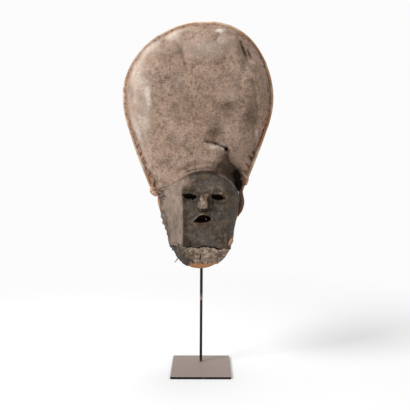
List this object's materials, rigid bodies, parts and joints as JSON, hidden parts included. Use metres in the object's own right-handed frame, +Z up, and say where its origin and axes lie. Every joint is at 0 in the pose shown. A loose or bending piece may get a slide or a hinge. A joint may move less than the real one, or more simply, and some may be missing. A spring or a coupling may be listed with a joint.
{
  "type": "cloth dance mask on a display stand",
  "caption": "Pear-shaped dance mask of stiffened cloth over bent cane, with a small moulded face, hung on a slim steel rod stand with a square foot.",
  "frame": {"origin": "middle of the underside of the square foot", "axes": "+Z up along the stand, the mask looks towards -Y, +X to the right as the mask is seen from the front"},
  "size_m": [0.3245, 0.1687, 0.7566],
  "materials": {
    "headdress_cloth": "stiff grey-brown cloth, dusty and worn, with creases and small pale patches",
    "face_cloth": "cloth coated with dark resin, matt, with crumbs and worn edges",
    "chin_cloth": "rolled strip of paler bare cloth with ragged edges",
    "cane": "split cane, tan to reddish, dry",
    "lashing": "wrapped and knotted cloth strips, dusty",
    "stand_steel": "black painted steel rod, satin",
    "foot_steel": "dark brown-black patinated steel plate, satin"
  },
  "bodies": {
    "root": {"headdress_cloth": "headdress_cloth", "face": "face_cloth", "chin_cloth": "chin_cloth", "crown_hoop": "cane", "chin_hoop": "cane", "left_lashing": "lashing", "right_lashing": "lashing", "loose_twig": "cane", "hanging_rod": "stand_steel", "lower_post": "stand_steel", "base_plate": "foot_steel"}
  },
  "joints": []
}
